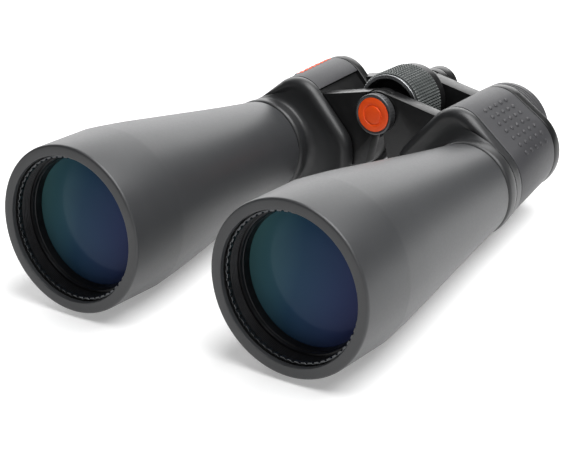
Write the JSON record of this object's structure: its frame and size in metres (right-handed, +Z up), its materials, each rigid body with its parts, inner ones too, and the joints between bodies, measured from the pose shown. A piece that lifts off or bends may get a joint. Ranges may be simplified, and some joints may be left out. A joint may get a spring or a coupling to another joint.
{
  "type": "astronomy binoculars",
  "caption": "Large rubber-armoured Porro-prism binoculars with 70 mm objectives, centre focus wheel, hinged halves and a capped tripod socket.",
  "frame": {"origin": "middle of the footprint, at the table it lies on", "axes": "+Y from the objectives to the eyepieces along the table, +Z up; the user's left half is at +X"},
  "size_m": [0.2204, 0.2828, 0.0905],
  "materials": {
    "rubber_armour": "matte black rubber armour",
    "satin_black": "satin black painted die casting",
    "anodised_black": "glossy black anodised",
    "bright_aluminium": "bright turned",
    "steel": "plain bright steel",
    "brass": "turned",
    "coated_glass": "blue-violet anti-reflection coating",
    "prism_glass": "clear optical glass",
    "orange_plastic": "semi-gloss orange",
    "cap_plastic": "satin black",
    "knurled_rubber": "dark grey knurled"
  },
  "bodies": {
    "left_half": {"left_barrel_armour": "rubber_armour", "left_objective_tube": "satin_black", "left_retaining_ring": "anodised_black", "left_objective_cell": "anodised_black", "left_crown_lens": "coated_glass", "left_flint_lens": "prism_glass", "left_front_cover": "rubber_armour", "left_prism_housing": "satin_black", "left_grip_armour": "rubber_armour", "left_prism_plate": "satin_black", "left_front_prism": "prism_glass", "left_front_prism_strap": "steel", "left_rear_prism": "prism_glass", "left_rear_prism_strap": "steel", "left_rear_cover": "satin_black", "left_cover_screw_1": "steel", "left_cover_screw_2": "steel", "left_strap_lug": "steel", "hinge_axle": "steel", "tripod_bush": "brass", "front_washer": "steel", "rear_washer": "steel"},
    "right_half": {"right_barrel_armour": "rubber_armour", "right_objective_tube": "satin_black", "right_retaining_ring": "anodised_black", "right_objective_cell": "anodised_black", "right_crown_lens": "coated_glass", "right_flint_lens": "prism_glass", "right_front_cover": "rubber_armour", "right_prism_housing": "satin_black", "right_grip_armour": "rubber_armour", "right_prism_plate": "satin_black", "right_front_prism": "prism_glass", "right_front_prism_strap": "steel", "right_rear_prism": "prism_glass", "right_rear_prism_strap": "steel", "right_rear_cover": "satin_black", "right_cover_screw_1": "steel", "right_cover_screw_2": "steel", "right_strap_lug": "steel"},
    "focus_wheel": {"focus_wheel_core": "satin_black", "focus_wheel_grip": "knurled_rubber", "focus_wheel_trim": "bright_aluminium"},
    "focus_spindle": {"focus_spindle": "steel", "bridge_cap": "cap_plastic"},
    "left_eyepiece": {"left_bridge_arm": "satin_black", "left_eyepiece_ring": "knurled_rubber", "left_ocular_barrel": "satin_black", "left_field_lens": "prism_glass", "left_eye_lens": "coated_glass", "left_eyecup": "rubber_armour"},
    "right_bridge": {"right_bridge_arm": "satin_black"},
    "diopter_ring": {"diopter_ring": "knurled_rubber"},
    "right_ocular": {"right_ocular_barrel": "satin_black", "right_field_lens": "prism_glass", "right_eye_lens": "coated_glass", "right_eyecup": "rubber_armour"},
    "cap_seal": {"cap_seal": "rubber_armour"},
    "tripod_cap": {"tripod_cap": "cap_plastic", "cap_inlay": "orange_plastic"}
  },
  "joints": [
    {"name": "interpupillary_hinge", "type": "hinge", "parent": "left_half", "child": "right_half", "pos_m": [0, 0.06378, 0.0566], "axis": [0, 0.9963, -0.0857], "range_deg": [-18, 17.5]},
    {"name": "focus_wheel_turn", "type": "hinge", "parent": "left_half", "child": "focus_wheel", "pos_m": [0, 0.06378, 0.0566], "axis": [0, 0.9963, -0.0857], "range_deg": [-180, 240]},
    {"name": "focus_spindle_travel", "type": "slide", "parent": "left_half", "child": "focus_spindle", "axis": [0, 0.9963, -0.0857], "range_m": [-0.003, 0.004]},
    {"name": "left_eyepiece_travel", "type": "slide", "parent": "left_half", "child": "left_eyepiece", "axis": [0, 0.9963, -0.0857], "range_m": [-0.003, 0.004]},
    {"name": "right_bridge_travel", "type": "slide", "parent": "right_half", "child": "right_bridge", "axis": [0, 0.9963, -0.0857], "range_m": [-0.003, 0.004]},
    {"name": "diopter_turn", "type": "hinge", "parent": "right_bridge", "child": "diopter_ring", "pos_m": [-0.0325, 0.11146, 0.0274], "axis": [0, 0.9963, -0.0857], "range_deg": [-60, 60]},
    {"name": "right_ocular_travel", "type": "slide", "parent": "right_bridge", "child": "right_ocular", "axis": [0, 0.9963, -0.0857], "range_m": [-0.00172, 0.00172]},
    {"name": "cap_travel", "type": "slide", "parent": "left_half", "child": "cap_seal", "axis": [0, -0.9963, 0.0857], "range_m": [0, 0.0073]},
    {"name": "cap_turn", "type": "hinge", "parent": "cap_seal", "child": "tripod_cap", "pos_m": [0, 0.06378, 0.0566], "axis": [0, 0.9963, -0.0857], "range_deg": [0, 1800]}
  ],
  "couplings": [
    {"joint": "focus_spindle_travel", "follows": "focus_wheel_turn", "m_per_rad": 0.00095493},
    {"joint": "left_eyepiece_travel", "follows": "focus_wheel_turn", "m_per_rad": 0.00095493},
    {"joint": "right_bridge_travel", "follows": "focus_wheel_turn", "m_per_rad": 0.00095493},
    {"joint": "right_ocular_travel", "follows": "diopter_turn", "m_per_rad": 0.0014324},
    {"joint": "cap_travel", "follows": "cap_turn", "m_per_rad": 0.00020213}
  ]
}
